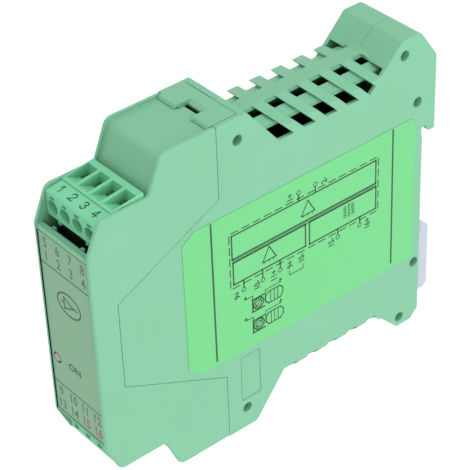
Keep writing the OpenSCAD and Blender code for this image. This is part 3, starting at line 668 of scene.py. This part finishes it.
# %% Draw the blocks of the wiring figure
LINE, DASH, FINE, COIL, HAIR, RULE = 0.46, 0.34, 0.24, 0.2, 0.16, 0.55
LEFT, RIGHT, TOP, BOTTOM = -68.0, -16.4, 16.8, -0.7
COIL_TOP, COIL_TURNS, TURN_W, TURN_H = 5.9, 4, 1.1, 0.95
SIGN_HALF, SIGN_H, FOOT_H, FEET = 2.3, 4.2, 4.9, (-1.5, 0, 1.5)
side_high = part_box("side_label")[1]
side = Sheet((side_high.x / MM + INK_GAP, 0, 0), (0, 1, 0), (0, 0, 1))
for y in (-73.6, -11.15):
    side.line((y, -21.5), (y, 23.0), RULE)
for z in (TOP, BOTTOM):
    side.dashes((LEFT, z), (RIGHT, z), DASH, 2.6, 1.1)
for y in (LEFT, RIGHT):
    side.dashes((y, BOTTOM), (y, TOP), DASH, 2.2, 1.0)
side.block(-67.2, 15.9, -17.3, 8.6, LINE)
for z in (8.2, 7.8, 7.4):
    side.line((-67.2, z), (-17.2, z), HAIR)
side.block(-67.0, 7.4, -42.4, 0.4, LINE)
side.block(-41.0, 7.4, -17.2, 0.3, LINE)
for y, z in ((-54.9, 6.7), (-41.4, 14.7)):
    low = z - SIGN_H
    side.path([(y, z), (y + SIGN_HALF, low), (y - SIGN_HALF, low)], DASH, closed=True)
    for foot in FEET:
        side.line((y + foot, low), (y + foot, z - FOOT_H), FINE)
for y in (-28.4, -25.6):
    for k in range(COIL_TURNS):
        side.ring((y, COIL_TOP - TURN_H * k), TURN_W, TURN_H, COIL, 12)
for y in (-27.2, -26.8):
    side.line((y, 2.3), (y, 6.6), COIL)
print("blocks drawn:", len(side.bm.faces), "marks")

# %% Draw the terminals
TERMINAL_D, TERMINAL_W = 1.5, 0.25
UPPER_FOOT, LOWER_FOOT = 15.9, 0.4
LETTERS = {"height": 1.9, "stretch": 0.85, "bold": 0.02, "turn": 90}
TERMINALS = [
    (-44.6, 18.6, "1+", -2.8), (-38.8, 18.5, "2-", 3.2), (-63.7, -2.8, "9+", -2.2),
    (-57.3, -3.0, "10-", -1.9), (-51.3, -2.9, "11+", -2.1), (-31.0, -2.4, "15-", -2.2),
    (-23.0, -2.4, "16+", 2.8),
]
for y, z, text, aside in TERMINALS:
    above = z > 0
    foot, inner = (UPPER_FOOT, -TERMINAL_D / 2) if above else (LOWER_FOOT, TERMINAL_D / 2)
    side.ring((y, z), TERMINAL_D, TERMINAL_D, TERMINAL_W, 20)
    side.line((y, foot), (y, z + inner), LINE)
    side.words(text, (y + aside, z - (0.2 if above else 0.7)), **LETTERS)
for y, text in ((-47.8, "9+"), (-43.8, "10-")):
    side.words(text, (y, -2.8), **LETTERS)
side.path([(-48.1, -4.8), (-48.1, -6.2), (-43.4, -6.2), (-43.4, -4.8)], FINE)
print("terminals drawn:", len(TERMINALS))

# %% Draw the clamps and finish the side label
SCREW_Y, WIRE_END, CLAMP_END = -59.0, -63.4, -51.4
HALF_H, CORNER_H = 1.9, 0.8
CLAMP = [(-56.6, -CORNER_H), (-55.6, -HALF_H), (-51.6, -HALF_H), (-50.6, -CORNER_H),
         (-50.6, CORNER_H), (-51.6, HALF_H), (-55.6, HALF_H), (-56.6, CORNER_H)]
PLATE = [(-57.0, -2.1), (-61.0, -2.1), (-61.0, HALF_H), (-57.0, HALF_H)]
SLOT = [(-59.9, -0.9), (-57.9, 1.1)]
LEADS = (
    [(-57.0, 0), (-56.6, 0), (-56.6, 3.0), (CLAMP_END, 3.0), (CLAMP_END, 4.0)],
    [(-60.9, HALF_H), (-60.9, 3.2), (WIRE_END, 3.2), (WIRE_END, 4.0)],
)


def raised(points, z):
    """The points of a sign moved to its height on the label."""
    return [(y, z + up) for y, up in points]


for z in (-9.7, -16.7):
    side.ring((SCREW_Y, z), 3.9, 3.9, 0.45, 24)
    side.ring((SCREW_Y, z), 2.4, 2.4, 0.3, 20)
    side.path(raised(PLATE, z), LINE)
    side.path(raised(SLOT, z), 0.3)
    side.path(raised(CLAMP, z), DASH, closed=True)
    for y in (-54.8, -53.6, -52.4):
        side.line((y, z - HALF_H), (y, z + HALF_H), FINE)
    for lead in LEADS:
        side.path(raised(lead, z), FINE)
    for y in (CLAMP_END, WIRE_END):
        side.path(raised([(y - 0.45, 3.5), (y, 4.1), (y + 0.45, 3.5)], z), FINE)
side.finished("side_print", "side_print", INK_DARK)

# %% [markdown]
# ## Numbers on the plugs
# Each plug carries the numbers of its poles on the strip in front of the wire funnels, read from
# the front. They are drawn with strokes of one width, as engraved lettering is: each digit is a
# list of corner points in a box one unit high. The lower plug is the same moulding turned over, so
# its strip faces down. Both strips lean a little, and the drawing board leans with them.

# %% Number the plugs
DIGITS = {
    "0": [[(-0.5, 0.3), (-0.5, 0.7), (-0.25, 1), (0.25, 1), (0.5, 0.7), (0.5, 0.3), (0.25, 0),
           (-0.25, 0), (-0.5, 0.3)]],
    "1": [[(-0.4, 0.68), (0.05, 1), (0.05, 0)]],
    "2": [[(-0.48, 0.74), (-0.25, 1), (0.22, 1), (0.47, 0.78), (0.4, 0.55), (-0.5, 0), (0.52, 0)]],
    "3": [[(-0.46, 0.84), (-0.2, 1), (0.2, 1), (0.44, 0.8), (0.3, 0.56), (-0.08, 0.54)],
          [(0.3, 0.56), (0.5, 0.3), (0.25, 0), (-0.22, 0), (-0.5, 0.2)]],
    "4": [[(0.2, 0), (0.2, 1), (-0.52, 0.28), (0.55, 0.28)]],
    "9": [[(-0.4, 0.06), (-0.1, 0), (0.25, 0.08), (0.48, 0.45), (0.46, 0.76), (0.2, 1), (-0.22, 1),
           (-0.48, 0.76), (-0.42, 0.5), (-0.15, 0.38), (0.2, 0.44), (0.46, 0.66)]],
}
STRIP_Y, STRIP_Z, CLIMB = -104.0, 38.79, math.atan(0.14)
DIGIT_H, DIGIT_W, DIGIT_STEP, STROKE = 2.3, 1.5, 1.9, 0.33
POLES = (-6.9, -2.3, 2.3, 6.9)
PLUG_INK = (0.020, 0.042, 0.028)
for name, first, up in (("top_plug", 1, 1), ("bottom_plug", 9, -1)):
    lean = (0, math.cos(CLIMB) * up, math.sin(CLIMB))
    strip = Sheet((0, STRIP_Y, STRIP_Z * up + INK_GAP * up), (1, 0, 0), lean)
    for k, x in enumerate(POLES):
        number = str(first + k)
        for place, digit in enumerate(number):
            middle_x = x + (place - (len(number) - 1) / 2) * DIGIT_STEP
            for stroke in DIGITS[digit]:
                points = [(middle_x + DIGIT_W * a, DIGIT_H * (b - 0.5)) for a, b in stroke]
                strip.path(points, STROKE)
    strip.finished(name + "_numbers", "plug", ink(name + "_ink", PLUG_INK))

# %% [markdown]
# The floor is plain pale paper with the least grain.

# %% Finish
PAPER_SCALE, PAPER_ROUGH = 40.0, 0.9
paper, paper_shader, paper_at = start_material("pale_paper")
clouded(paper_at, paper_shader, noise(paper_at, PAPER_SCALE), (1, 1, 1), 0.95, 0.97)
paper_shader.inputs["Roughness"].default_value = PAPER_ROUGH
floor_mesh.materials.append(paper)
bpy.context.view_layer.update()
